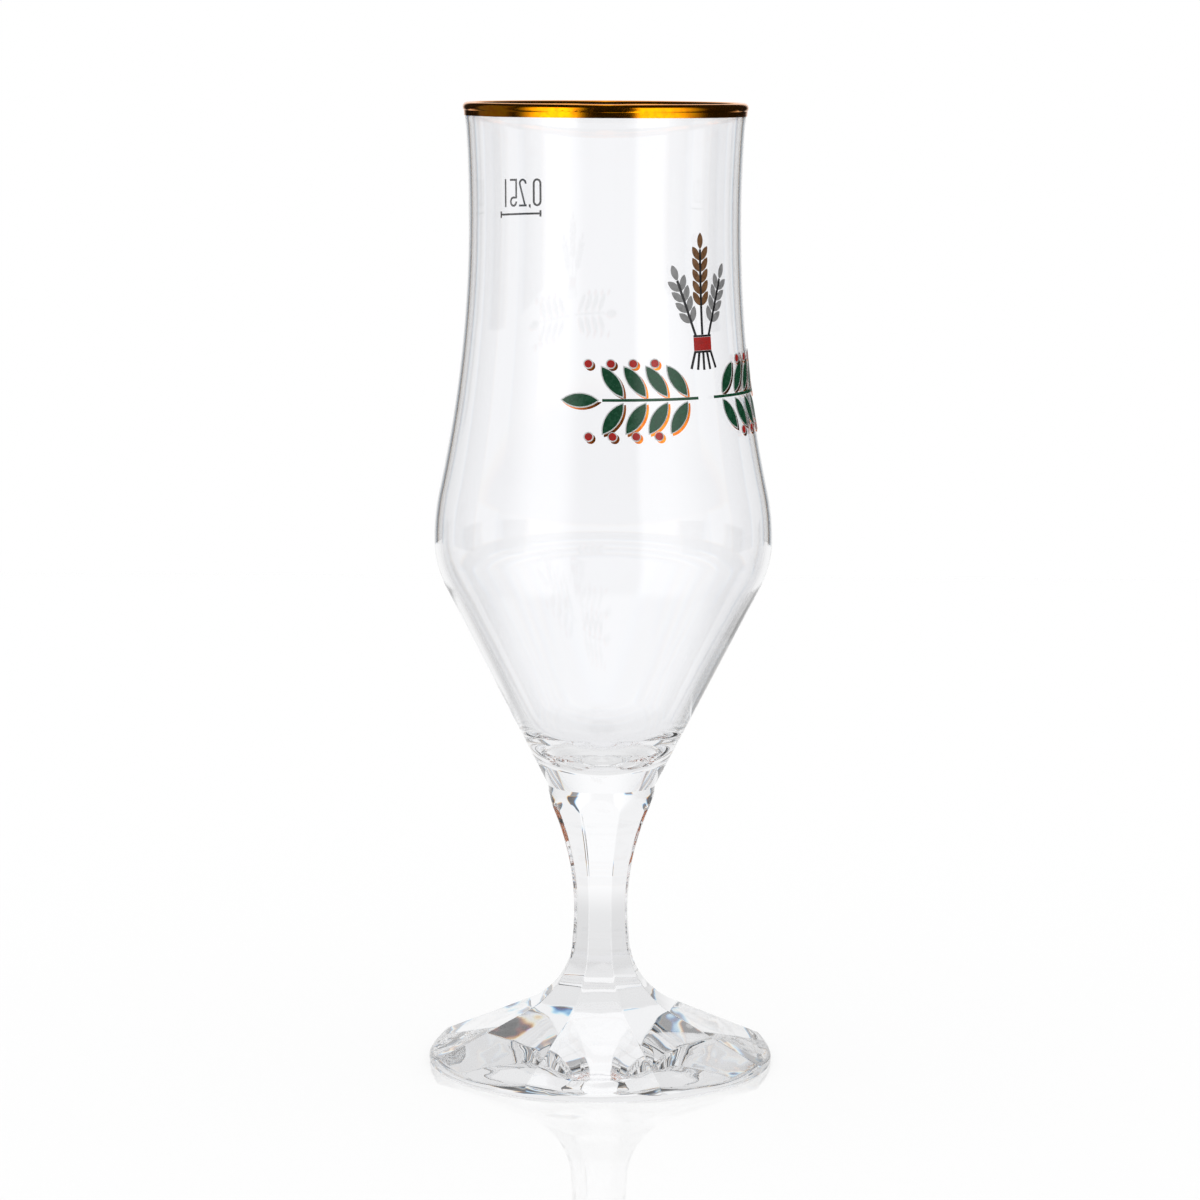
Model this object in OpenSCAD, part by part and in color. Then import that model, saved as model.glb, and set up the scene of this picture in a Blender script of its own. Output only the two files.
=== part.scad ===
// Chalice beer glass: a blown bowl on a pressed eight-sided stem and foot, with a gilt rim
// and fired-on decoration. The origin is the centre of the foot's underside, +Z is up,
// and -Y is the front.

/* [Foot] */
// Diameter of the foot
foot_d = 70.6; // [64:0.2:78]
// Height of the foot's edge in the middle of a facet
foot_edge_h = 1.2; // [0.8:0.1:2]
// Rounding of the foot's lower edge
foot_edge_round = 0.4; // [0.2:0.05:0.6]
// Width of the flat ring that the glass stands on
stand_ring_w = 4.5; // [3:0.5:8]
// Depth of the hollow under the foot, at its centre
foot_hollow = 1; // [0.4:0.1:2]
// Height at which the foot is joined to the stem
foot_h = 25.8; // [22:0.2:28]
// Radius of the sweep from the stem to the foot
flare_r = 16.4; // [14:0.2:18]

/* [Stem] */
// Width of the stem across its flats, where it is narrowest
stem_w = 10.9; // [9:0.1:14]
// Height of the stem's narrowest place
stem_waist_z = 31.5; // [29:0.5:36]
// Radius of the stem's hollow curve
stem_curve_r = 57; // [50:1:70]
// Diameter of the round collar where it meets the bowl
collar_d = 22; // [20:0.2:24]
// Diameter of the collar at its lower edge
collar_low_d = 21.3; // [19:0.1:22]
// Height of the collar
collar_h = 3.4; // [2:0.2:5]
// Direction of the foremost facet, from the front towards +X
facet_azimuth = -2.4; // [-22:0.1:22]

/* [Bowl] */
// Height of the whole glass
glass_h = 196; // [188:0.5:204]
// Height at which the bowl is joined to the stem
bowl_base_z = 57.6; // [54:0.2:60]
// Diameter of the bowl at its widest place
belly_d = 68.7; // [64:0.1:74]
// Height of the widest place
belly_z = 108.4; // [104:0.2:114]
// Radius of the curve under the widest place
lower_belly_r = 21; // [18:0.5:26]
// Radius of the curve over the widest place
upper_belly_r = 48; // [42:1:60]
// Diameter of the bowl at its narrowest place under the rim
waist_d = 54.8; // [50:0.1:58]
// Height of that narrowest place
waist_z = 173.5; // [168:0.5:178]
// Thickness of the wall
wall = 1.4; // [1:0.1:2]
// Thickness of the rounded lip
lip_t = 1.7; // [1.6:0.1:2.6]
// Height of the lowest place inside the bowl
floor_z = 62.2; // [61:0.1:66]
// Radius of the rounded floor inside the bowl
floor_r = 18; // [10:0.5:20]

/* [Rim band] */
// Depth of the gilt band on the outside
band_h = 2.5; // [1.5:0.1:5]
// Depth of the gilt band on the inside
band_in_h = 1.6; // [1.2:0.1:3]
// Thickness of the gilding
band_t = 0.12; // [0.08:0.01:0.2]

/* [Prints] */
// Thickness of the fired-on colours
print_t = 0.12; // [0.08:0.01:0.2]
// Gap between neighbouring colours
print_gap = 0.04; // [0.02:0.01:0.1]
// Gap between the glass and what is fired on it
print_lift = 0.045; // [0.02:0.005:0.06]
// Direction of the decoration, from the front towards +X
print_azimuth = 42.5; // [0:0.5:359]

/* [Garland] */
// Height of the garland's stem over the bowl's widest place
garland_rise = 30.6; // [24:0.2:34]
// Length of a leaf
leaf_l = 7; // [5:0.1:8]
// Width of a leaf
leaf_w = 2.5; // [1.6:0.1:2.6]
// Lean of a leaf from the garland's stem
leaf_lean = 55; // [50:1:65]
// Number of pairs of leaves on each branch
leaf_pairs = 4; // [2:1:5]
// Distance from one pair of leaves to the next
leaf_pitch = 4.5; // [4.2:0.1:5]
// Distance from the middle of the garland to the first pair of leaves
leaf_start = 4.4; // [4:0.1:8]
// Width of the garland's stem
vine_w = 0.55; // [0.3:0.05:0.8]
// Distance from the garland's stem to the foot of a leaf
leaf_foot = 0.85; // [0.6:0.05:1.2]
// Width of the pale line round each leaf
keyline_w = 0.2; // [0.15:0.05:0.3]
// Sideways and downward shift of the gilt edge behind each leaf
gilt_shift = 0.42; // [0.3:0.02:0.5]
// Diameter of a berry
berry_d = 1.5; // [1:0.1:1.7]
// Distance from the garland's stem to a berry, along the lean of the leaves
berry_reach = 8.6; // [8.2:0.1:9.5]

/* [Sheaf] */
// Height at which the sheaf is tied, over the garland's stem
tie_rise = 10.5; // [7:0.5:12]
// Width of the tie
tie_w = 4.6; // [3.6:0.1:5]
// Height of the tie
tie_h = 2.6; // [1.6:0.1:3]
// Height of the two lines beside the tie
tie_line_h = 0.45; // [0.3:0.05:0.6]
// Distance from the tie to the first grain of the middle ear
ear_start = 7.5; // [6.5:0.5:10]
// Distance from the tie to the first grain of a side ear
side_ear_start = 4.5; // [4:0.5:5.5]
// Lean of a side ear
side_ear_lean = 20; // [18:1:26]
// Number of pairs of grains in the middle ear
grain_pairs = 5; // [3:1:6]
// Number of pairs of grains in a side ear
side_grain_pairs = 4; // [3:1:5]
// Length of a grain
grain_l = 3.2; // [2.6:0.1:3.4]
// Width of a grain
grain_w = 1.4; // [1:0.05:1.5]
// Distance from one pair of grains to the next
grain_pitch = 2.2; // [2:0.1:2.4]
// Lean of a grain from its stalk
grain_lean = 32; // [28:1:36]
// Width of a stalk
stalk_w = 0.5; // [0.3:0.05:0.6]
// Length of the stalks under the tie
stalk_tail = 3.8; // [3:0.1:4]
// Number of stalks that show under the tie
tail_count = 5; // [3:2:7]

/* [Fill mark] */
// Depth of the fill line under the rim, which marks a quarter of a litre
fill_drop = 23; // [18:0.1:28]
// Length of the fill line
fill_line_l = 12; // [6:0.5:14]
// Width of the printed strokes
stroke_w = 0.42; // [0.25:0.01:0.45]
// Height of the ticks at the ends of the fill line
tick_h = 1.3; // [1:0.1:2]
// Height of a figure
figure_h = 5.7; // [4:0.1:6.5]
// Width of a figure
figure_w = 2.1; // [1.8:0.05:2.4]
// Space between two figures
figure_gap = 0.65; // [0.5:0.05:0.9]
// Distance from the fill line to the figures
figure_lift = 1.5; // [1:0.1:3]

/* [Hidden] */
$fa = 2;
$fs = 0.4;
facets = 8;
half_turn = 180;
overrun = 2;
// The most that a drawn curve strays from the true one
chord_gap = 0.01;

// Foot: a straight slope runs from the foot's edge to where it touches the sweep of the stem
foot_r = foot_d / 2;
neck = stem_half_w(foot_h);
flare_centre = [neck + flare_r, foot_h];
slope_angle = atan2(foot_h - foot_edge_h, foot_r - flare_centre[0])
              - asin(flare_r / norm(flare_centre - [foot_r, foot_edge_h]));
slope_far = [foot_r + overrun, foot_edge_h - overrun * tan(slope_angle)];
hollow_r = foot_r - foot_edge_round - stand_ring_w;
hollow_curve_r = (pow(hollow_r, 2) + pow(foot_hollow, 2)) / (2 * foot_hollow);

// Bowl: a cone and three curves, each touching the next
belly_r = belly_d / 2;
waist_r = waist_d / 2;
low_centre = [belly_r - lower_belly_r, belly_z];
high_centre = [belly_r - upper_belly_r, belly_z];
draw_in = belly_r - waist_r;
waist_rise = waist_z - belly_z;
curve_sum = (pow(draw_in, 2) + pow(waist_rise, 2)) / (2 * draw_in);
waist_curve_r = curve_sum - upper_belly_r;
waist_centre = [waist_r + waist_curve_r, waist_z];
flank_angle = asin(waist_rise / curve_sum);
flank_z = belly_z + upper_belly_r * sin(flank_angle);
base_point = [collar_d / 2, bowl_base_z];
floor_centre = [0, floor_z + floor_r];
cone_angle_out = cone_angle(base_point, 0, lower_belly_r);
cone_angle_in = cone_angle(floor_centre, floor_r, lower_belly_r - wall);
lip_z = glass_h - lip_t / 2;
lip_centre = [outer_r(lip_z) - wall / 2, lip_z];

// Decoration
garland_z = belly_z + garland_rise;
tie_z = garland_z + tie_rise;
fill_z = glass_h - fill_drop;
print_top_z = glass_h - band_h - overrun;
print_reach = belly_r + overrun;
fill_azimuth = print_azimuth + half_turn;
leaf_curve_r = oval_curve_r(leaf_l, leaf_w);
grain_curve_r = oval_curve_r(grain_l, grain_w);
vine_start = leaf_start - leaf_pitch / 2;
vine_end = leaf_start + leaf_pairs * leaf_pitch;
figure_step = figure_w + figure_gap;

// Half the width of the stem across its flats at a height
function stem_half_w(z) = stem_w / 2 + stem_curve_r
    - sqrt(pow(stem_curve_r, 2) - pow(z - stem_waist_z, 2));

// Outer radius of the bowl at a height above its flank
function outer_r(z) = waist_centre[0] - sqrt(pow(waist_curve_r, 2) - pow(z - waist_z, 2));

// Angle from upright of a line that touches a disc and the belly's lower curve
function cone_angle(centre, r, curve_r) =
    atan2(low_centre[0] - centre[0], low_centre[1] - centre[1])
    + asin((curve_r - r) / norm(low_centre - centre));

// Largest angle that a straight side of a curve may span
function side_angle(r) = 2 * acos(1 - chord_gap / r);

// Points along a curve from one angle to another
function curve(centre, r, from, to) =
    let (count = ceil(abs(to - from) / side_angle(r)))
        [for (i = [0 : count]) let (a = from + (to - from) * i / count)
            centre + r * [cos(a), sin(a)]];

// Outline of the bowl's outside or, with inset as the wall, of its inside, up to a height
function bowl_outline(inset, cone, top_z) = concat(
    curve(low_centre, lower_belly_r - inset, -cone, 0),
    curve(high_centre, upper_belly_r - inset, 0, flank_angle),
    curve(waist_centre, waist_curve_r + inset, half_turn + flank_angle,
          half_turn - asin((top_z - waist_z) / (waist_curve_r + inset))));

// Radius of both sides of a pointed oval
function oval_curve_r(length, width) = (pow(length, 2) + pow(width, 2)) / (4 * width);

// The angle at the glass's axis of a distance along the bowl's surface
function angle_along(distance, z) = distance / outer_r(z) * half_turn / PI;

// The lean of the upper or lower leaves on one side of the garland, from +X
function lean_of(side, up) = side > 0 ? up * leaf_lean : half_turn - up * leaf_lean;

// A circle with as many sides as a drawn curve of its radius
module fine_circle(r) {
    circle(r, $fn = ceil(2 * half_turn / side_angle(r)));
}

module bowl() {
    color("AliceBlue", 0.35)
        rotate_extrude()
            union() {
                difference() {
                    polygon(concat([[0, bowl_base_z], base_point],
                                   bowl_outline(0, cone_angle_out, lip_z), [[0, lip_z]]));
                    polygon(concat(curve(floor_centre, floor_r, -half_turn / 2, -cone_angle_in),
                                   bowl_outline(wall, cone_angle_in, glass_h + overrun),
                                   [[0, glass_h + overrun]]));
                }
                translate(lip_centre) circle(lip_t / 2);
            }
}

// A block with as many sides as there are facets, whose opposite flats share the drawn outline
module many_sided(reach) {
    intersection_for(i = [0 : facets / 2 - 1])
        rotate([0, 0, facet_azimuth + i * 2 * half_turn / facets])
            rotate([90, 0, 0])
                linear_extrude(2 * reach, center = true)
                    children();
}

module stem() {
    side = stem_w / 2 + stem_curve_r;
    color("AliceBlue", 0.4)
        intersection() {
            many_sided(collar_d)
                difference() {
                    translate([-side, foot_h]) square([2 * side, bowl_base_z - foot_h]);
                    for (x = [-side, side])
                        translate([x, stem_waist_z]) fine_circle(stem_curve_r);
                }
            rotate_extrude()
                polygon([[0, foot_h - overrun], [collar_low_d / 2, foot_h - overrun],
                         [collar_low_d / 2, bowl_base_z - collar_h],
                         base_point, [0, bowl_base_z]]);
        }
}

// Right half of the outline through the middle of a facet of the foot
function foot_outline() = concat(
    [[slope_far[0], -overrun], slope_far],
    curve(flare_centre, flare_r, -half_turn / 2 - slope_angle, -half_turn));

// The round space that the foot is cut from, with its hollow underside
module foot_round() {
    edge_centre = [foot_r - foot_edge_round, foot_edge_round];
    polygon(concat(
        curve([0, foot_hollow - hollow_curve_r], hollow_curve_r, half_turn / 2, acos(hollow_r / hollow_curve_r)),
        curve(edge_centre, foot_edge_round, -half_turn / 2, 0),
        [[foot_r, foot_h + overrun], [0, foot_h + overrun]]));
}

module foot() {
    color("AliceBlue", 0.4)
        intersection() {
            many_sided(foot_d)
                polygon([for (side = [1, -1], p = side > 0 ? foot_outline() : reversed(foot_outline()))
                    [side * p[0], p[1]]]);
            rotate_extrude() foot_round();
        }
}

// A list of points in the opposite order
function reversed(points) = [for (i = [len(points) - 1 : -1 : 0]) points[i]];

// A ring along the bowl's upper flank, between two insets and two heights
module flank_ring(inset_out, inset_in, low_z, high_z) {
    intersection() {
        translate(waist_centre)
            difference() {
                fine_circle(waist_curve_r + inset_in);
                fine_circle(waist_curve_r + inset_out);
            }
        translate([0, low_z]) square([waist_centre[0], high_z - low_z]);
    }
}

// The wall near the rim and its lip, thicker by grow on both sides
module rim_section(grow) {
    flank_ring(-grow, wall + grow, print_top_z, lip_z);
    translate(lip_centre) circle(lip_t / 2 + grow);
}

module rim_band() {
    color("Gold")
        rotate_extrude()
            difference() {
                intersection() {
                    rim_section(print_lift + band_t);
                    union() {
                        translate([lip_centre[0], glass_h - band_h])
                            square([lip_t, band_h + overrun]);
                        translate([lip_centre[0] - lip_t, glass_h - band_in_h])
                            square([lip_t, band_in_h + overrun]);
                    }
                }
                rim_section(print_lift);
            }
}

// A flat motif laid on the bowl in a direction and at a height
module on_bowl(azimuth, z) {
    intersection() {
        rotate_extrude()
            flank_ring(-print_lift - print_t, -print_lift, flank_z, print_top_z);
        rotate([0, 0, azimuth])
            translate([0, 0, z])
                rotate([90, 0, 0])
                    linear_extrude(print_reach)
                        children();
    }
}

// A pointed oval that runs along +X from the origin
module pointed_oval(length, width, curve_r, grow) {
    intersection_for(side = [-1, 1])
        translate([length / 2, side * (curve_r - width / 2)])
            circle(curve_r + grow);
}

module leaf(lean, grow) {
    rotate(lean)
        translate([leaf_foot, 0])
            pointed_oval(leaf_l, leaf_w, leaf_curve_r, grow);
}

// The flat motif of one place along the garland: a pair of leaves, or the last leaf
module leaf_motif(grow) {
    if ($last)
        leaf($side > 0 ? 0 : half_turn, grow);
    else
        for (up = [-1, 1])
            leaf(lean_of($side, up), grow);
}

// Two berries between the tips of the leaves
module berry_motif(grow) {
    for (up = [-1, 1])
        rotate(lean_of($side, up))
            translate([berry_reach, 0])
                circle(berry_d / 2 + grow);
}

// Places along both branches of the garland, counted from the middle
module along_garland(count, shift) {
    for (side = [-1, 1])
        for (i = [0 : count - 1]) {
            $side = side;
            $last = i == leaf_pairs;
            on_bowl(print_azimuth + side * angle_along(leaf_start + shift + i * leaf_pitch, garland_z), garland_z)
                children();
        }
}

// The garland's stem on one side of the sheaf
module vine(side) {
    from = angle_along(vine_start, garland_z);
    span = angle_along(vine_end - vine_start, garland_z);
    rotate([0, 0, print_azimuth - half_turn / 2 + (side > 0 ? from : -from - span)])
        rotate_extrude(angle = span)
            flank_ring(-print_lift - print_t, -print_lift, garland_z - vine_w / 2, garland_z + vine_w / 2);
}

module garland_leaves() {
    color("DarkGreen") {
        along_garland(leaf_pairs + 1, 0) leaf_motif(0);
        for (side = [-1, 1])
            vine(side);
    }
}

module garland_keyline() {
    color("WhiteSmoke") {
        along_garland(leaf_pairs + 1, 0)
            difference() {
                leaf_motif(keyline_w);
                leaf_motif(print_gap);
            }
        along_garland(leaf_pairs, leaf_pitch / 2)
            difference() {
                berry_motif(keyline_w);
                berry_motif(print_gap);
            }
    }
}

// The gilt edge that shows beside and under a motif, clear of the garland's stem
module garland_gilding() {
    color("Goldenrod") {
        along_garland(leaf_pairs + 1, 0)
            difference() {
                translate([gilt_shift, -gilt_shift]) leaf_motif(keyline_w);
                leaf_motif(keyline_w + print_gap);
                square([2 * leaf_l, vine_w + 2 * print_gap], center = true);
            }
        along_garland(leaf_pairs, leaf_pitch / 2)
            difference() {
                translate([gilt_shift, -gilt_shift]) berry_motif(keyline_w);
                berry_motif(keyline_w + print_gap);
            }
    }
}

module berries() {
    color("Crimson")
        along_garland(leaf_pairs, leaf_pitch / 2) berry_motif(0);
}

// A flat ear of grain up the Y axis, open for its stalk: pairs of grains, and one at the top
module ear(pairs) {
    difference() {
        for (i = [0 : pairs - 1])
            for (side = [-1, 1])
                translate([side * stalk_w / 2, i * grain_pitch])
                    rotate(half_turn / 2 - side * grain_lean)
                        pointed_oval(grain_l, grain_w, grain_curve_r, 0);
        translate([-stalk_w / 2 - print_gap, -grain_l])
            square([stalk_w + 2 * print_gap, pairs * grain_pitch + grain_l]);
    }
    translate([0, pairs * grain_pitch])
        rotate(half_turn / 2)
            pointed_oval(grain_l, grain_w, grain_curve_r, 0);
}

// One stalk up the Y axis, and its tail under the tie
module stalk(ear_at, pairs) {
    top = ear_at + pairs * grain_pitch - print_gap;
    tie_edge = tie_h / 2 + tie_line_h + print_gap;
    translate([-stalk_w / 2, tie_edge]) square([stalk_w, top - tie_edge]);
}

// The lean of the stalks, and where each leaves the tie
module each_side_stalk() {
    for (side = [-1, 1])
        translate([side * tie_w / 4, 0])
            rotate(-side * side_ear_lean)
                children();
}

module middle_ear() {
    color("Peru")
        on_bowl(print_azimuth, tie_z)
            translate([0, ear_start]) ear(grain_pairs);
}

module side_ears() {
    color("DarkGray")
        on_bowl(print_azimuth, tie_z)
            each_side_stalk()
                translate([0, side_ear_start]) ear(side_grain_pairs);
}

module sheaf_stalks() {
    color("Black")
        on_bowl(print_azimuth, tie_z)
            difference() {
                union() {
                    stalk(ear_start, grain_pairs);
                    each_side_stalk() stalk(side_ear_start, side_grain_pairs);
                    for (i = [0 : tail_count - 1])
                        let (place = 2 * i / (tail_count - 1) - 1)
                            translate([place * tie_w / 3, 0])
                                rotate(place * side_ear_lean)
                                    translate([-stalk_w / 2, -stalk_tail - tie_h / 2])
                                        square([stalk_w, stalk_tail]);
                    for (side = [-1, 1])
                        translate([-tie_w / 2, side * (tie_h + tie_line_h) / 2 - tie_line_h / 2])
                            square([tie_w, tie_line_h]);
                }
                square([tie_w + overrun, tie_h + 2 * print_gap], center = true);
            }
}

module sheaf_tie() {
    color("Crimson")
        on_bowl(print_azimuth, tie_z)
            square([tie_w, tie_h], center = true);
}

// A printed ring as wide as a figure, with its lowest place at the origin's height
module figure_ring() {
    translate([figure_w / 2, figure_w / 2])
        difference() {
            circle(figure_w / 2);
            circle(figure_w / 2 - stroke_w);
        }
}

module figure_zero() {
    straight = figure_h - figure_w;
    difference() {
        union() {
            for (y = [0, straight])
                translate([0, y]) figure_ring();
            translate([0, figure_w / 2]) square([figure_w, straight]);
        }
        translate([stroke_w, figure_w / 2]) square([figure_w - 2 * stroke_w, straight]);
    }
}

module figure_two() {
    shoulder = figure_h - figure_w / 2;
    intersection() {
        translate([0, figure_h - figure_w]) figure_ring();
        translate([0, shoulder]) square([figure_w, figure_w]);
    }
    polygon([[figure_w - stroke_w, shoulder], [figure_w, shoulder],
             [1.5 * stroke_w, stroke_w / 2], [stroke_w / 2, stroke_w / 2]]);
    square([figure_w, stroke_w]);
}

module figure_five() {
    difference() {
        figure_ring();
        translate([0, figure_w / 2]) square(figure_w / 2);
    }
    translate([0, figure_w - stroke_w]) square([figure_w / 2, stroke_w]);
    translate([0, figure_w - stroke_w]) square([stroke_w, figure_h - figure_w + stroke_w]);
    translate([0, figure_h - stroke_w]) square([figure_w, stroke_w]);
}

module fill_mark() {
    color("Black")
        on_bowl(fill_azimuth, fill_z) {
            square([fill_line_l, stroke_w], center = true);
            for (side = [-1, 1])
                translate([side * (fill_line_l - stroke_w) / 2, 0])
                    square([stroke_w, tick_h], center = true);
            translate([-fill_line_l / 2, figure_lift]) {
                figure_zero();
                translate([figure_step, 0])
                    polygon([[0, stroke_w], [stroke_w, stroke_w], [stroke_w, 0], [0, -stroke_w]]);
                translate([figure_step + stroke_w + figure_gap, 0]) figure_two();
                translate([2 * figure_step + stroke_w + figure_gap, 0]) figure_five();
                translate([3 * figure_step + stroke_w + 2 * figure_gap, 0]) square([stroke_w, figure_h]);
            }
        }
}

bowl();
stem();
foot();
rim_band();
fill_mark();
garland_leaves();
garland_keyline();
garland_gilding();
berries();
middle_ear();
side_ears();
sheaf_stalks();
sheaf_tie();
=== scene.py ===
import math

import bpy
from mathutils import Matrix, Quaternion, Vector


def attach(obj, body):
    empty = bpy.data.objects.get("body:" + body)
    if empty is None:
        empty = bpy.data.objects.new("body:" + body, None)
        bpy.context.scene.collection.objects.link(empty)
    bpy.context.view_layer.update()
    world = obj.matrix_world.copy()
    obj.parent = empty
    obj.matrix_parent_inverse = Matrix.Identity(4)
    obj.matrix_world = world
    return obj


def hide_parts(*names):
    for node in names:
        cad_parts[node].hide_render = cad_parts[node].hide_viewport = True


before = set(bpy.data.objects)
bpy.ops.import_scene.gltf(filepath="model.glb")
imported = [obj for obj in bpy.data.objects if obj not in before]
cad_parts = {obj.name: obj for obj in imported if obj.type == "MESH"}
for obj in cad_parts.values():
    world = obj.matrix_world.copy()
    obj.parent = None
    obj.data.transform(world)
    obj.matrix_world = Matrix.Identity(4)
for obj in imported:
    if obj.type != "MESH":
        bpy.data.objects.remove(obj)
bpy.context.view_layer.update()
scene = bpy.context.scene
mm = 0.001


# Camera and light bounces

photoView = {
    "distance": 795.8 * mm,     # level distance from the axis of the glass
    "height": 207.1 * mm,
    "aimHeight": 95.6 * mm,
    "sideShift": -0.57 * mm,    # the glass stands a little right of the middle
    "roll": 0.33,               # degrees: the top of the glass leans right
    "lens": 118.4,
    "sensor": 36,
    "nearest": 0.05,
}
lightBounces = 64               # fewer leave the thick ends of the glass black


def placeCamera(look):
    data = bpy.data.cameras.new("photoCamera")
    data.lens, data.sensor_width, data.clip_start = look["lens"], look["sensor"], look["nearest"]
    camera = bpy.data.objects.new("photoCamera", data)
    scene.collection.objects.link(camera)
    camera.location = (look["sideShift"], -look["distance"], look["height"])
    aim = Vector((look["sideShift"], 0, look["aimHeight"])) - camera.location
    roll = Quaternion((0, 0, 1), math.radians(look["roll"]))
    camera.rotation_mode = "QUATERNION"
    camera.rotation_quaternion = aim.to_track_quat("-Z", "Y") @ roll
    scene.camera = camera


placeCamera(photoView)
scene.view_settings.view_transform = "Standard"
scene.cycles.max_bounces = lightBounces
scene.cycles.transmission_bounces = lightBounces
scene.cycles.glossy_bounces = lightBounces
print("camera placed")


# Small helpers for nodes

mixFirst, mixSecond, mixResult = 6, 7, 2     # sockets of a Mix node that blends colours


def addNode(tree, kind, **values):
    node = tree.nodes.new(kind)
    for name, value in values.items():
        setattr(node, name, value)
    return node


def plug(tree, socket, value):
    if hasattr(value, "is_output"):
        tree.links.new(value, socket)
    else:
        socket.default_value = value


def sums(tree, operation, *values):
    node = addNode(tree, "ShaderNodeMath", operation=operation)
    for socket, value in zip(node.inputs, values):
        plug(tree, socket, value)
    return node.outputs[0]


def blendValues(tree, share, first, second):
    node = addNode(tree, "ShaderNodeMix", data_type="FLOAT")
    for name, value in (("Factor", share), ("A", first), ("B", second)):
        plug(tree, node.inputs[name], value)
    return node.outputs[0]


def softStep(tree, value, start, end, low=0.0, high=1.0):
    node = addNode(tree, "ShaderNodeMapRange", interpolation_type="SMOOTHSTEP")
    for socket, amount in zip(node.inputs, (value, start, end, low, high)):
        plug(tree, socket, amount)
    return node.outputs[0]


# A white room for the camera, a dark one with softboxes for what shines or turns light back,
# and a white one with dark flags for what is seen through the glass.
# Turns are in degrees round the glass from the camera towards +X, and tilts are above level.

studio = {
    "softboxes": [
        {"from": (-78, -46), "to": (-34, -14), "glow": 2.2},
        {"from": (22, 29), "to": (44, 92), "glow": 1.9},
        {"from": (-128, -122), "to": (-90, -82), "glow": 0.12},
    ],
    "softboxTop": (28, 40),
    "dark": 0.012,
    "backdrop": (158, 170),
    "flags": [
        {"turn": (56.5, 78.5), "tilt": (-91, 20), "depth": 0.72},
        {"turn": (101.5, 123.5), "tilt": (-91, 20), "depth": 0.72},
        {"turn": (-78.5, -56.5), "tilt": (-91, 20), "depth": 0.72},
        {"turn": (-123.5, -101.5), "tilt": (-91, 20), "depth": 0.72},
        {"turn": (-138, 140), "tilt": (10, 18), "depth": 0.85},
        {"turn": (-138, 140), "tilt": (22, 25), "depth": 0.6},
        {"turn": (-138, 140), "tilt": (29, 32), "depth": 0.6},
        {"turn": (-138, 140), "tilt": (36, 39), "depth": 0.6},
        {"turn": (155, 163), "tilt": (2, 12), "depth": 0.85},
        {"turn": (157, 162), "tilt": (-91, 0), "depth": 0.7},
        {"turn": (-162, -157), "tilt": (-91, 0), "depth": 0.7},
    ],
    "flagSoft": 2,
    "sideFall": {"from": 150, "to": 172, "low": 0.91},      # a little shade beside the backdrop
    "fringe": 0.4,              # degrees between the colours that the glass bends apart
    "floorHalf": 0.75,
    "floorDrop": 0.02 * mm,
    "floorPale": 0.3,
    "floorIndex": 1.33,
    "floorTilt": -10,           # the tilt at which the floor's painted reflection repeats the softboxes
    # Painted shade: seen through the glass, the floor's glow runs from near to far between these
    # distances in metres from the glass's axis
    "floorPaintedShadeThrough": {"near": 0.84, "far": 1.0, "from": 0.06, "to": 0.35},
    # floorEnd: where, in metres from the glass's axis, the painted softbox reflection on the
    # floor starts
    "floorEnd": (0.1, 0.15),
    # Painted glow on the floor behind the glass, seen in what the glass turns back
    "floorPaintedGlowBehind": {"from": 128, "to": 150, "glow": 0.9},
}


def makeGroup(name, inputs, outputs):
    group = bpy.data.node_groups.new(name, "ShaderNodeTree")
    for label in inputs:
        group.interface.new_socket(label, in_out="INPUT", socket_type="NodeSocketFloat")
    for label in outputs:
        group.interface.new_socket(label, in_out="OUTPUT", socket_type="NodeSocketFloat")
    given = addNode(group, "NodeGroupInput").outputs
    result = addNode(group, "NodeGroupOutput").inputs
    return group, given, result


def useGroup(tree, group, *values):
    node = addNode(tree, "ShaderNodeGroup", node_tree=group)
    for socket, value in zip(node.inputs, values):
        plug(tree, socket, value)
    return node.outputs[0]


def softboxLight(look):
    group, given, result = makeGroup("softboxLight", ["Turn", "Tilt"], ["Light"])
    turn = given["Turn"]
    low = softStep(group, given["Tilt"], *look["softboxTop"], 1.0, 0.0)
    backdrop = softStep(group, sums(group, "ABSOLUTE", turn), *look["backdrop"])
    light = sums(group, "ADD", backdrop, look["dark"])
    for box in look["softboxes"]:
        inside = sums(group, "MULTIPLY", softStep(group, turn, *box["from"]),
                      softStep(group, turn, *box["to"], 1.0, 0.0))
        inside = sums(group, "MULTIPLY", inside, low)
        light = sums(group, "ADD", light, sums(group, "MULTIPLY", inside, box["glow"]))
    plug(group, result["Light"], light)
    return group


def window(tree, value, start, end, soft):
    opened = softStep(tree, value, start - soft, start)
    return sums(tree, "MULTIPLY", opened, softStep(tree, value, end, end + soft, 1.0, 0.0))


def sideFall(tree, turn, look):
    fall = look["sideFall"]
    outward = sums(tree, "ABSOLUTE", turn)
    return softStep(tree, outward, fall["from"], fall["to"], fall["low"], 1.0)


def darkFlags(look):
    group, given, result = makeGroup("darkFlags", ["Turn", "Tilt"], ["Light"])
    light = sideFall(group, given["Turn"], look)
    for flag in look["flags"]:
        across = window(group, given["Turn"], *flag["turn"], look["flagSoft"])
        upward = window(group, given["Tilt"], *flag["tilt"], look["flagSoft"])
        inside = sums(group, "MULTIPLY", across, upward)
        dimmed = sums(group, "SUBTRACT", 1.0, sums(group, "MULTIPLY", inside, flag["depth"]))
        light = sums(group, "MULTIPLY", light, dimmed)
    plug(group, result["Light"], light)
    return group


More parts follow.
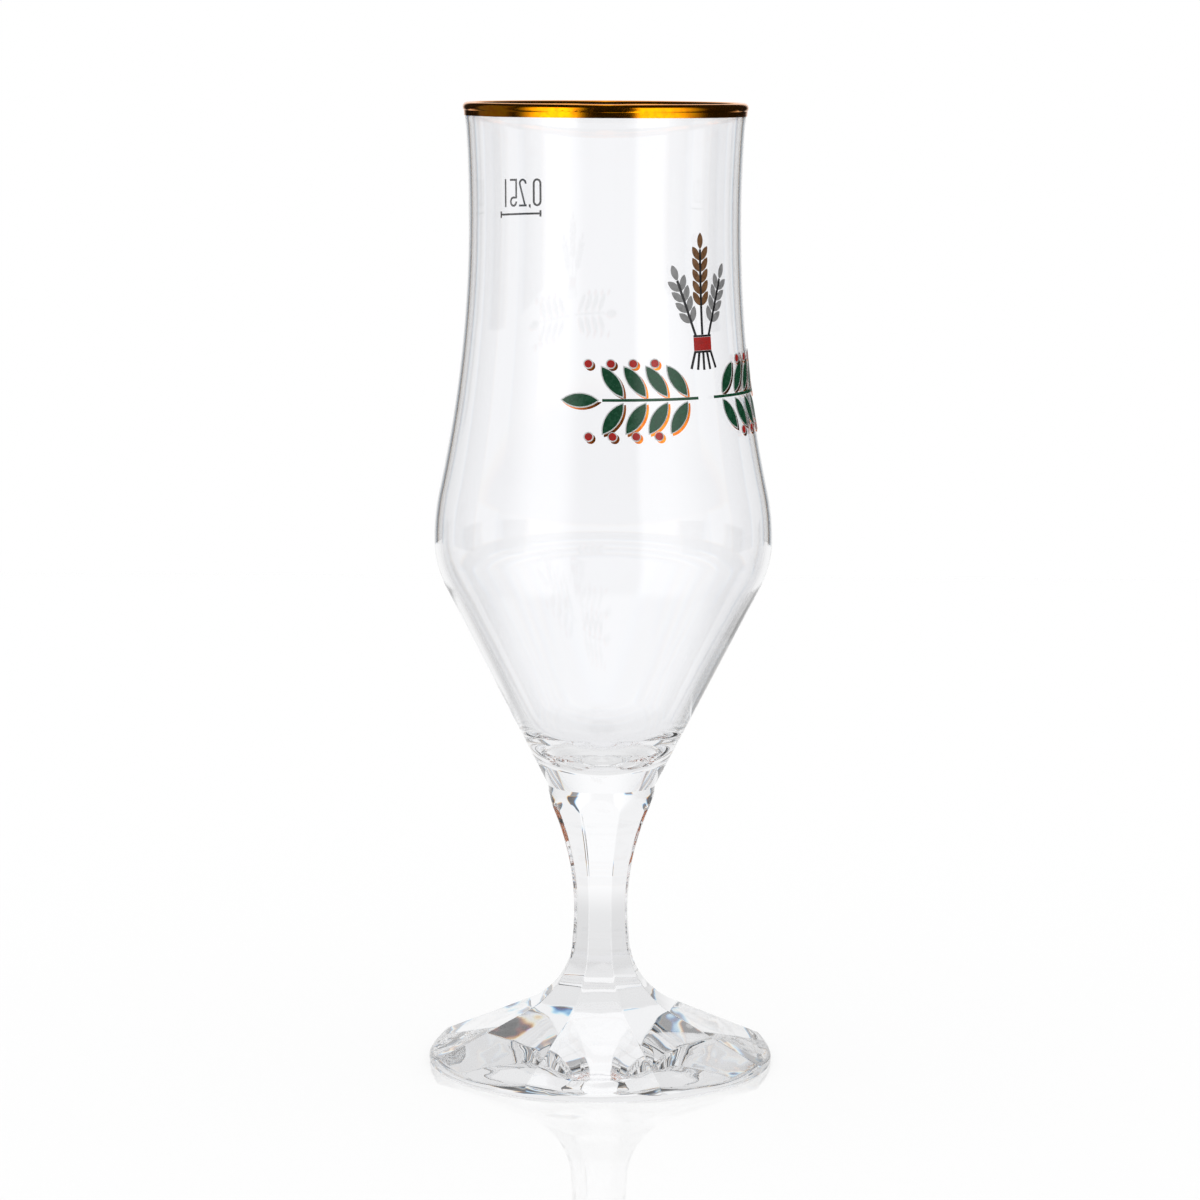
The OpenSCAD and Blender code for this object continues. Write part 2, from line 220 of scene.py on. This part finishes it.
def rayKinds():
    group, given, result = makeGroup("rayKinds", [], ["Turned Back", "Straight Through"])
    ray = addNode(group, "ShaderNodeLightPath").outputs
    back = sums(group, "MULTIPLY", ray["Is Glossy Ray"], ray["Is Reflection Ray"])
    back = sums(group, "MULTIPLY", back, sums(group, "SUBTRACT", 1.0, ray["Is Singular Ray"]))
    plug(group, result["Turned Back"], back)
    plug(group, result["Straight Through"], ray["Is Transmission Ray"])
    return group


def turnOf(tree, x, y):
    return sums(tree, "DEGREES", sums(tree, "ARCTAN2", x, sums(tree, "MULTIPLY", y, -1.0)))


def coordinates(tree, kind):
    parts = addNode(tree, "ShaderNodeSeparateXYZ")
    tree.links.new(addNode(tree, "ShaderNodeTexCoord").outputs[kind], parts.inputs[0])
    return parts.outputs


def lightTheRoom(look, softboxes, flags, rays):
    world = bpy.data.worlds.new("studioRoom")
    scene.world = world
    world.use_nodes = True
    tree = world.node_tree
    background = tree.nodes["Background"]
    x, y, z = coordinates(tree, "Generated")
    turn = turnOf(tree, x, y)
    tilt = sums(tree, "DEGREES", sums(tree, "ARCSINE", z))
    outward = sums(tree, "SIGN", turn)
    through = addNode(tree, "ShaderNodeCombineColor")
    for channel, shift in enumerate((-look["fringe"], 0.0, look["fringe"])):
        bent = sums(tree, "ADD", turn, sums(tree, "MULTIPLY", outward, shift))
        flagged = useGroup(tree, flags, bent, sums(tree, "ADD", tilt, shift))
        tree.links.new(flagged, through.inputs[channel])

    kinds = addNode(tree, "ShaderNodeGroup", node_tree=rays).outputs
    light = addNode(tree, "ShaderNodeMix", data_type="RGBA")
    tree.links.new(kinds["Straight Through"], light.inputs["Factor"])
    shine = useGroup(tree, softboxes, turn, tilt)
    tree.links.new(blendValues(tree, kinds["Turned Back"], 1.0, shine), light.inputs[mixFirst])
    tree.links.new(through.outputs[0], light.inputs[mixSecond])
    tree.links.new(light.outputs[mixResult], background.inputs["Color"])
    background.inputs["Strength"].default_value = 1


# The floor's glow is even to the camera; to rays bent by the glass it holds a painted shade near
# the glass, and to rays that the glass turns back it holds a painted reflection of the softboxes
def layTheFloor(look, softboxes, rays):
    half = look["floorHalf"]
    mesh = bpy.data.meshes.new("studioFloor")
    low = -look["floorDrop"]
    corners = [(x * half, y * half, low) for x, y in ((-1, -1), (1, -1), (1, 1), (-1, 1))]
    mesh.from_pydata(corners, [], [(0, 1, 2, 3)])
    floor = bpy.data.objects.new("studioFloor", mesh)
    scene.collection.objects.link(floor)
    paint = bpy.data.materials.new("whiteGlossFloorPaintedGlow")
    paint.use_nodes = True
    tree = paint.node_tree
    tree.nodes.remove(tree.nodes["Principled BSDF"])
    x, y, z = coordinates(tree, "Object")
    squares = [sums(tree, "POWER", side, 2.0) for side in (x, y)]
    away = sums(tree, "SQRT", sums(tree, "ADD", *squares))
    # Painted shade on the floor seen through the glass: it glows less near the glass and beside
    # the backdrop
    shade = look["floorPaintedShadeThrough"]
    through = softStep(tree, away, shade["from"], shade["to"], shade["near"], shade["far"])
    beyond = softStep(tree, away, *look["floorEnd"])
    # Painted reflection on the floor for rays that the glass turns back: the softboxes and a
    # glow behind the glass, held even and dimmer near the foot
    turn = turnOf(tree, x, y)
    back = look["floorPaintedGlowBehind"]
    behind = sums(tree, "ABSOLUTE", turn)
    behind = softStep(tree, behind, back["from"], back["to"], 0.0, back["glow"])
    shine = useGroup(tree, softboxes, turn, look["floorTilt"])
    shine = sums(tree, "MAXIMUM", shine, behind)
    shine = blendValues(tree, beyond, shade["near"], shine)
    through = sums(tree, "MULTIPLY", through, sideFall(tree, turn, look))

    ray = addNode(tree, "ShaderNodeLightPath").outputs
    kinds = addNode(tree, "ShaderNodeGroup", node_tree=rays).outputs
    openView = sums(tree, "MAXIMUM", ray["Is Camera Ray"], ray["Is Singular Ray"])
    glowLevel = sums(tree, "MULTIPLY", openView, 1 - look["floorPale"])
    for kind, level in (("Straight Through", through), ("Turned Back", shine)):
        glowLevel = sums(tree, "ADD", glowLevel, sums(tree, "MULTIPLY", kinds[kind], level))
    matt = addNode(tree, "ShaderNodeBsdfDiffuse")
    pale = addNode(tree, "ShaderNodeCombineColor")
    for channel in pale.inputs:
        plug(tree, channel, sums(tree, "MULTIPLY", openView, look["floorPale"]))
    tree.links.new(pale.outputs[0], matt.inputs["Color"])
    glow = addNode(tree, "ShaderNodeEmission")
    tree.links.new(glowLevel, glow.inputs["Strength"])
    gloss = addNode(tree, "ShaderNodeBsdfGlossy")
    gloss.inputs["Color"].default_value = (1, 1, 1, 1)
    gloss.inputs["Roughness"].default_value = 0
    both = addNode(tree, "ShaderNodeAddShader")
    top = addNode(tree, "ShaderNodeMixShader")
    sheen = addNode(tree, "ShaderNodeFresnel")
    sheen.inputs["IOR"].default_value = look["floorIndex"]
    tree.links.new(matt.outputs[0], both.inputs[0])
    tree.links.new(glow.outputs[0], both.inputs[1])
    tree.links.new(sums(tree, "MULTIPLY", sheen.outputs[0], openView), top.inputs[0])
    tree.links.new(both.outputs[0], top.inputs[1])
    tree.links.new(gloss.outputs[0], top.inputs[2])
    tree.links.new(top.outputs[0], tree.nodes["Material Output"].inputs["Surface"])
    mesh.materials.append(paint)


shineGroup = softboxLight(studio)
rayGroup = rayKinds()
flagGroup = darkFlags(studio)
lightTheRoom(studio, shineGroup, flagGroup, rayGroup)
layTheFloor(studio, shineGroup, rayGroup)
print("studio lit")


# Materials

noiseDetail = {"waves": 0, "haze": 3, "mottle": 4}
hazeEdges = (0.45, 0.7)          # where the noise turns from clear to hazy
mottleEdges = (0.3, 0.7)


def newMaterial(name):
    material = bpy.data.materials.new(name)
    material.use_nodes = True
    return material, material.node_tree, material.node_tree.nodes["Principled BSDF"]


def noiseIn(tree, place, scale, detail):
    noise = addNode(tree, "ShaderNodeTexNoise")
    tree.links.new(place, noise.inputs["Vector"])
    plug(tree, noise.inputs["Scale"], scale)
    noise.inputs["Detail"].default_value = detail
    return noise.outputs["Fac"]


# Hand-made glass: broad waves with finer ones over them
def glassWaves():
    group, given, result = makeGroup("glassWaves", ["Broad Scale", "Fine Scale", "Fine Share"],
                                     ["Height"])
    place = addNode(group, "ShaderNodeTexCoord").outputs["Object"]
    broad = noiseIn(group, place, given["Broad Scale"], noiseDetail["waves"])
    fine = noiseIn(group, place, given["Fine Scale"], noiseDetail["waves"])
    fine = sums(group, "MULTIPLY", fine, given["Fine Share"])
    plug(group, result["Height"], sums(group, "ADD", broad, fine))
    return group


# A faint haze left by washing and drying, in soft patches
def washedHaze():
    group, given, result = makeGroup("washedHaze", ["Clear", "Hazy", "Scale"], ["Roughness"])
    place = addNode(group, "ShaderNodeTexCoord").outputs["Object"]
    patches = noiseIn(group, place, given["Scale"], noiseDetail["haze"])
    patches = softStep(group, patches, *hazeEdges)
    plug(group, result["Roughness"], blendValues(group, patches, given["Clear"], given["Hazy"]))
    return group


# Fired-on colour or gold: mottled, and pitted a little by the screen that it was printed through
def firedGrain():
    group, given, result = makeGroup("firedGrain", ["Mottle Scale", "Screen Scale"],
                                     ["Shade", "Height"])
    place = addNode(group, "ShaderNodeTexCoord").outputs["Object"]
    mottle = noiseIn(group, place, given["Mottle Scale"], noiseDetail["mottle"])
    plug(group, result["Shade"], softStep(group, mottle, *mottleEdges))
    cells = addNode(group, "ShaderNodeTexVoronoi")
    group.links.new(place, cells.inputs["Vector"])
    plug(group, cells.inputs["Scale"], given["Screen Scale"])
    plug(group, result["Height"], cells.outputs["Distance"])
    return group


def bumpFrom(tree, shader, height, depth):
    bump = addNode(tree, "ShaderNodeBump")
    bump.inputs["Distance"].default_value = depth
    plug(tree, bump.inputs["Height"], height)
    tree.links.new(bump.outputs[0], shader.inputs["Normal"])


glassLooks = {
    "blownGlass": {"broad": 35, "fine": 140, "share": 0.15, "depth": 0.02 * mm},
    "pressedStem": {"broad": 60, "fine": 260, "share": 0.2, "depth": 0.012 * mm},
    "pressedFoot": {"broad": 90, "fine": 230, "share": 0.22, "depth": 0.15 * mm},
}
glassTint = (0.987, 0.989, 1, 1)
glassIndex = 1.52
haze = {"clear": 0.012, "hazy": 0.022, "scale": 60}


def clearGlass(name, waves, hazes):
    look = glassLooks[name]
    material, tree, shader = newMaterial(name)
    shader.inputs["Base Color"].default_value = glassTint
    shader.inputs["IOR"].default_value = glassIndex
    shader.inputs["Transmission Weight"].default_value = 1
    hazed = useGroup(tree, hazes, haze["clear"], haze["hazy"], haze["scale"])
    plug(tree, shader.inputs["Roughness"], hazed)
    height = useGroup(tree, waves, look["broad"], look["fine"], look["share"])
    bumpFrom(tree, shader, height, look["depth"])
    return material


# Where two pieces of glass are fused, no surface shows
def jointGlass():
    material, tree, shader = newMaterial("fusedJoint")
    tree.nodes.remove(shader)
    clear = addNode(tree, "ShaderNodeBsdfTransparent")
    tree.links.new(clear.outputs[0], tree.nodes["Material Output"].inputs["Surface"])
    return material


# Colours where the coat is thick and thin, and its roughness where it is even and worn
firedLooks = {
    "brightGold": {
        "thick": (0.96, 0.37, 0.002), "thin": (0.9, 0.28, 0.004), "even": 0.11, "worn": 0.17,
        "metal": 1, "mottle": 900, "screen": 5200, "depth": 0.002 * mm,
    },
    "redGold": {
        "thick": (0.9, 0.27, 0.035), "thin": (0.75, 0.17, 0.03), "even": 0.22, "worn": 0.34,
        "metal": 1, "mottle": 1400, "screen": 5200, "depth": 0.004 * mm,
    },
    "leaf_green": {
        "thick": (0.005, 0.07, 0.028), "thin": (0.012, 0.1, 0.045), "even": 0.22, "worn": 0.3,
    },
    "line_white": {
        "thick": (0.74, 0.76, 0.75), "thin": (0.6, 0.63, 0.62), "even": 0.25, "worn": 0.35,
    },
    "berry_red": {
        "thick": (0.58, 0.018, 0.014), "thin": (0.44, 0.015, 0.012), "even": 0.22, "worn": 0.32,
    },
    "grain_brown": {
        "thick": (0.18, 0.078, 0.025), "thin": (0.27, 0.13, 0.05), "even": 0.25, "worn": 0.36,
    },
    "grain_grey": {
        "thick": (0.27, 0.27, 0.27), "thin": (0.36, 0.36, 0.365), "even": 0.25, "worn": 0.36,
    },
    "ink_black": {
        "thick": (0.009, 0.009, 0.011), "thin": (0.03, 0.03, 0.034), "even": 0.25, "worn": 0.35,
    },
}
enamel = {"metal": 0, "mottle": 1100, "screen": 4200, "depth": 0.006 * mm}


def firedCoat(name, grain):
    look = {**enamel, **firedLooks[name]}
    material, tree, shader = newMaterial(name)
    coat = addNode(tree, "ShaderNodeGroup", node_tree=grain)
    coat.inputs["Mottle Scale"].default_value = look["mottle"]
    coat.inputs["Screen Scale"].default_value = look["screen"]
    shade = coat.outputs["Shade"]
    colour = addNode(tree, "ShaderNodeMix", data_type="RGBA")
    plug(tree, colour.inputs["Factor"], shade)
    colour.inputs[mixFirst].default_value = look["thick"] + (1,)
    colour.inputs[mixSecond].default_value = look["thin"] + (1,)
    tree.links.new(colour.outputs[mixResult], shader.inputs["Base Color"])
    shader.inputs["Metallic"].default_value = look["metal"]
    gloss = blendValues(tree, shade, look["even"], look["worn"])
    plug(tree, shader.inputs["Roughness"], gloss)
    bumpFrom(tree, shader, coat.outputs["Height"], look["depth"])
    return material


waveGroup, hazeGroup, grainGroup = glassWaves(), washedHaze(), firedGrain()
blownGlass, pressedStem, pressedFoot = [clearGlass(name, waveGroup, hazeGroup)
                                        for name in glassLooks]
fusedJoint = jointGlass()
firedCoats = {name: firedCoat(name, grainGroup) for name in firedLooks}
print("materials mixed")


# Skins built from rings of points, in millimetres

sharpAngle = 38                  # degrees: edges that turn more than this stay sharp
onAxis = 1e-6


def arc(centre, radius, start, end, step):
    count = max(1, math.ceil(abs(end - start) / step))
    angles = [math.radians(start + (end - start) * i / count) for i in range(count + 1)]
    return [(centre[0] + radius * math.cos(a), centre[1] + radius * math.sin(a)) for a in angles]


def skin(name, rings, materials, joints=()):
    points, faces, slots = [], [], []
    starts = []
    for ring in rings:
        starts.append(len(points))
        points += [(x * mm, y * mm, z * mm) for x, y, z in ring]
    for band in range(len(rings) - 1):
        a, b = starts[band], starts[band + 1]
        countA, countB = len(rings[band]), len(rings[band + 1])
        for i in range(max(countA, countB)):
            j = (i + 1) % max(countA, countB)
            if countA == 1:
                faces.append((a, b + j, b + i))
            elif countB == 1:
                faces.append((a + i, a + j, b))
            else:
                faces.append((a + i, a + j, b + j, b + i))
            slots.append(1 if band in joints else 0)
    mesh = bpy.data.meshes.new(name)
    mesh.from_pydata(points, [], faces)
    for material in materials:
        mesh.materials.append(material)
    for polygon, slot in zip(mesh.polygons, slots):
        polygon.material_index = slot
        polygon.use_smooth = True
    mesh.set_sharp_from_angle(angle=math.radians(sharpAngle))
    piece = bpy.data.objects.new(name, mesh)
    scene.collection.objects.link(piece)
    return piece


def turned(outline, sides):
    rings = []
    angles = [2 * math.pi * i / sides for i in range(sides)]
    for r, z in outline:
        if r < onAxis:
            rings.append([(0, 0, z)])
        else:
            rings.append([(r * math.cos(a), r * math.sin(a), z) for a in angles])
    return rings


def stand(piece, node):
    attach(piece, "root")
    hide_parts(node)


bowlSizes = {
    "height": 196, "base": 57.6, "baseRadius": 11,
    "bellyRadius": 34.35, "bellyHeight": 108.4, "lowerCurve": 21, "upperCurve": 48,
    "waistRadius": 27.4, "waistHeight": 173.5,
    "wall": 1.4, "lip": 1.7, "lipSweep": (-32, 212), "floor": 62.2, "floorCurve": 18,
    "sides": 256,
    "steps": {"belly": 2.5, "flank": 1.2, "waist": 0.6, "lip": 9, "floor": 3},      # degrees
}


def bowlCurves(size):
    low = (size["bellyRadius"] - size["lowerCurve"], size["bellyHeight"])
    high = (size["bellyRadius"] - size["upperCurve"], size["bellyHeight"])
    drawIn = size["bellyRadius"] - size["waistRadius"]
    rise = size["waistHeight"] - size["bellyHeight"]
    curveSum = (drawIn ** 2 + rise ** 2) / (2 * drawIn)
    waistCurve = curveSum - size["upperCurve"]
    waist = (size["waistRadius"] + waistCurve, size["waistHeight"])
    flank = math.degrees(math.asin(rise / curveSum))
    return low, high, waist, waistCurve, flank


def coneAngle(low, centre, radius, curve):
    across, up = low[0] - centre[0], low[1] - centre[1]
    lean = math.asin((curve - radius) / math.hypot(across, up))
    return math.degrees(math.atan2(across, up) + lean)


def bowlWall(size, inset, cone, top):
    low, high, waist, waistCurve, flank = bowlCurves(size)
    end = 180 - math.degrees(math.asin((top - waist[1]) / (waistCurve + inset)))
    step = size["steps"]
    return (arc(low, size["lowerCurve"] - inset, -cone, 0, step["belly"])
            + arc(high, size["upperCurve"] - inset, 0, flank, step["flank"])[1:]
            + arc(waist, waistCurve + inset, 180 + flank, end, step["waist"])[1:])


def waistRadiusAt(size, z):
    waist, waistCurve = bowlCurves(size)[2:4]
    return waist[0] - math.sqrt(waistCurve ** 2 - (z - waist[1]) ** 2)


def makeBowl(size):
    low, step = bowlCurves(size)[0], size["steps"]
    floorCentre = (0, size["floor"] + size["floorCurve"])
    coneOut = coneAngle(low, (size["baseRadius"], size["base"]), 0, size["lowerCurve"])
    coneIn = coneAngle(low, floorCentre, size["floorCurve"], size["lowerCurve"] - size["wall"])
    lipZ = size["height"] - size["lip"] / 2
    lip = (waistRadiusAt(size, lipZ) - size["wall"] / 2, lipZ)
    outside = bowlWall(size, 0, coneOut, lipZ - size["lip"] / 2)
    inside = bowlWall(size, size["wall"], coneIn, lipZ - size["lip"] / 2)
    lipCurve = arc(lip, size["lip"] / 2, *size["lipSweep"], step["lip"])
    floorCurve = arc(floorCentre, size["floorCurve"], -coneIn, -90, step["floor"])
    outline = ([(0, size["base"]), (size["baseRadius"], size["base"])] + outside + lipCurve
               + inside[::-1] + floorCurve[:-1] + [(0, size["floor"])])
    rings = turned(outline, size["sides"])
    bowl = skin("clearBowl", rings, [blownGlass, fusedJoint], joints=(0,))
    stand(bowl, "bowl")


stemSizes = {
    "bottom": 25.8, "top": 57.6, "waistHalf": 5.45, "waistHeight": 31.5, "curve": 57,
    "collarRadius": 11, "collarLow": 10.65, "collarHeight": 3.4,
    "ridgeRound": 0.45, "edgeRound": 0.3,
    "shoulder": 50.5, "lowStep": 0.25, "highStep": 0.2, "topGap": 0.1,
}
facetCount = 8
facetTurn = -2.4                 # degrees that the facets are turned from facing the front
facetPoints = {"steps": 10, "crowd": 2.5}       # from a facet's middle to its ridge
softestRidge = 12


def facetAngles(steps, crowd):
    angles = []
    half = 180 / facetCount
    for facet in range(facetCount):
        middle = facet * 2 * half + facetTurn
        offsets = [half * (1 - (1 - i / steps) ** crowd) for i in range(steps + 1)]
        angles += [middle - o for o in offsets[:0:-1]] + [middle + o for o in offsets[:-1]]
    return angles


def facetRadius(flat, angle, ridgeRound):
    half = math.pi / facetCount
    corner = flat / math.cos(half)
    sharpness = math.log(2) * corner / ((1 / math.cos(half) - 1) * ridgeRound)
    power = max(softestRidge, sharpness)
    total = 0
    for facet in range(facetCount):
        lean = math.cos(math.radians(angle - facetTurn) - 2 * half * facet)
        if lean > 0:
            total += lean ** power
    return flat / total ** (1 / power)


def softLess(a, b, soft):
    overlap = max(soft - abs(a - b), 0) / soft
    return min(a, b) - overlap * overlap * soft / 4


def around(r, angle, z):
    turn = math.radians(angle)
    return r * math.cos(turn), r * math.sin(turn), z


def stemHalf(size, z):
    curve, rise = size["curve"], z - size["waistHeight"]
    return size["waistHalf"] + curve - math.sqrt(curve ** 2 - rise ** 2)


def levels(start, end, step):
    return [start + step * i for i in range(math.ceil((end - start) / step))]


def makeStem(size, angles):
    heights = (levels(size["bottom"], size["shoulder"], size["lowStep"])
               + levels(size["shoulder"], size["top"] - size["topGap"], size["highStep"])
               + [size["top"]])
    rings = []
    for z in heights:
        share = max(0, (z - size["top"] + size["collarHeight"]) / size["collarHeight"])
        collar = size["collarLow"] + (size["collarRadius"] - size["collarLow"]) * share
        ring = []
        for angle in angles:
            r = facetRadius(stemHalf(size, z), angle, size["ridgeRound"])
            r = softLess(r, collar, size["edgeRound"])
            if z == size["top"]:
                r = size["collarRadius"]
            ring.append(around(r, angle, z))
        rings.append(ring)
    rings = [[(0, 0, size["bottom"])]] + rings + [[(0, 0, size["top"])]]
    stem = skin("clearStem", rings, [pressedStem, fusedJoint], joints=(0, len(rings) - 2))
    stand(stem, "stem")


footSizes = {
    "radius": 35.3, "edgeHeight": 1.2, "edgeRound": 0.4, "topRound": 0.3,
    "ring": 4.5, "hollow": 1, "top": 25.8, "flare": 16.4, "ridgeRound": 0.6,
    "roundIn": 0.5, "roundDown": 0.7,           # shares of the top's rounding
    "flareStep": 2, "topSteps": 30, "edgeStep": 15, "hollowStep": 0.4,
}


def footSlope(size, neck):
    centre = (neck + size["flare"], size["top"])
    across, up = size["radius"] - centre[0], size["top"] - size["edgeHeight"]
    slope = math.atan2(up, across) - math.asin(size["flare"] / math.hypot(across, up))
    return centre, math.degrees(slope)


def makeFoot(size, angles):
    neck = stemHalf(stemSizes, size["top"])
    centre, slope = footSlope(size, neck)
    sweep = arc(centre, size["flare"], -180, -90 - slope, size["flareStep"])
    fall = math.tan(math.radians(slope))
    start, startHeight = sweep[-1]
    ringIn = size["radius"] - size["edgeRound"] - size["ring"]
    dome = (ringIn ** 2 + size["hollow"] ** 2) / (2 * size["hollow"])
    tilt = math.degrees(math.asin(ringIn / dome))
    columns = []
    for angle in angles:
        unit = facetRadius(1, angle, size["ridgeRound"] / size["radius"])
        last = (size["radius"] - size["topRound"] * size["roundIn"]) / unit
        column = [(facetRadius(r, angle, size["ridgeRound"]), z) for r, z in sweep]
        for i in range(1, size["topSteps"] + 1):
            flat = start + (last - start) * i / size["topSteps"]
            column.append((flat * unit, startHeight - (flat - start) * fall))
        edge = column[-1][1]
        column.append((size["radius"], edge - size["topRound"] * size["roundDown"]))
        low = (size["radius"] - size["edgeRound"], size["edgeRound"])
        column += arc(low, size["edgeRound"], 0, -90, size["edgeStep"])
        column += arc((0, size["hollow"] - dome), dome, 90 - tilt, 90, size["hollowStep"])[:-1]
        columns.append(column)
    rings = [[(0, 0, size["top"])]]
    for row in zip(*columns):
        rings.append([around(r, angle, z) for (r, z), angle in zip(row, angles)])
    rings.append([(0, 0, size["hollow"])])
    rings = rings[::-1]
    foot = skin("clearFoot", rings, [pressedFoot, fusedJoint], joints=(len(rings) - 2,))
    stand(foot, "foot")


makeBowl(bowlSizes)
facetDirections = facetAngles(**facetPoints)
makeStem(stemSizes, facetDirections)
makeFoot(footSizes, facetDirections)
print("glass blown and pressed")


# Gilding and fired colours on the CAD nodes

coatOf = {
    "rim_band": "brightGold",
    "garland_gilding": "redGold",
    "fill_mark": "ink_black",
    "garland_leaves": "leaf_green",
    "garland_keyline": "line_white",
    "berries": "berry_red",
    "middle_ear": "grain_brown",
    "side_ears": "grain_grey",
    "sheaf_stalks": "ink_black",
    "sheaf_tie": "berry_red",
}
for node, coat in coatOf.items():
    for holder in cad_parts[node].material_slots:
        holder.material = firedCoats[coat]
print("decoration coloured")
